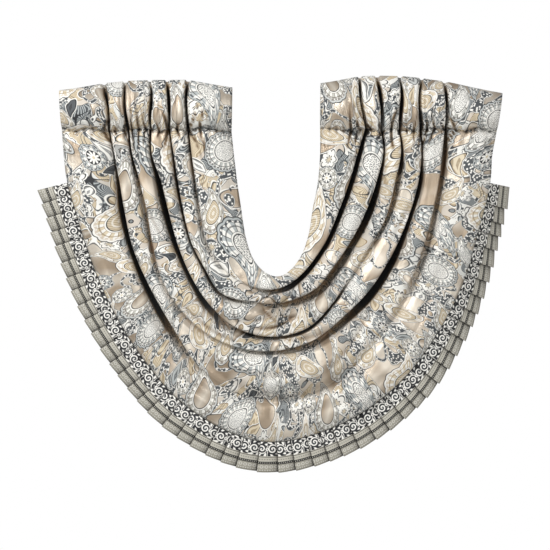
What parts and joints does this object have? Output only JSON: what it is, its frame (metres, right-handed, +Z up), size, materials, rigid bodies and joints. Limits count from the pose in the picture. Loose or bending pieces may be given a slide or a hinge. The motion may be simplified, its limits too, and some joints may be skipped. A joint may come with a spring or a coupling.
{
  "type": "rod pocket swag valance with pleated trim",
  "caption": "Deep gathered window swag hung from a rod pocket on each shoulder, its folds sweeping round an open centre, with a knife-pleated trim along the lower edge",
  "frame": {"origin": "on the axis of the curtain rod that carries it, midway between the two headings", "axes": "+X to the viewer's right along the rod, +Y back towards the wall, +Z up; the front faces -Y"},
  "size_m": [1.1839, 0.1386, 0.993],
  "materials": {
    "printed_cloth": "matt printed cotton blend, paisley and flowers in slate grey on champagne and ivory",
    "trim_cloth": "matt border-printed cotton blend, scrolls and dotted stripes in charcoal on greige"
  },
  "bodies": {
    "root": {"swag_panel": "printed_cloth", "heading_left": "printed_cloth", "heading_right": "printed_cloth", "pleated_trim": "trim_cloth"}
  },
  "joints": []
}
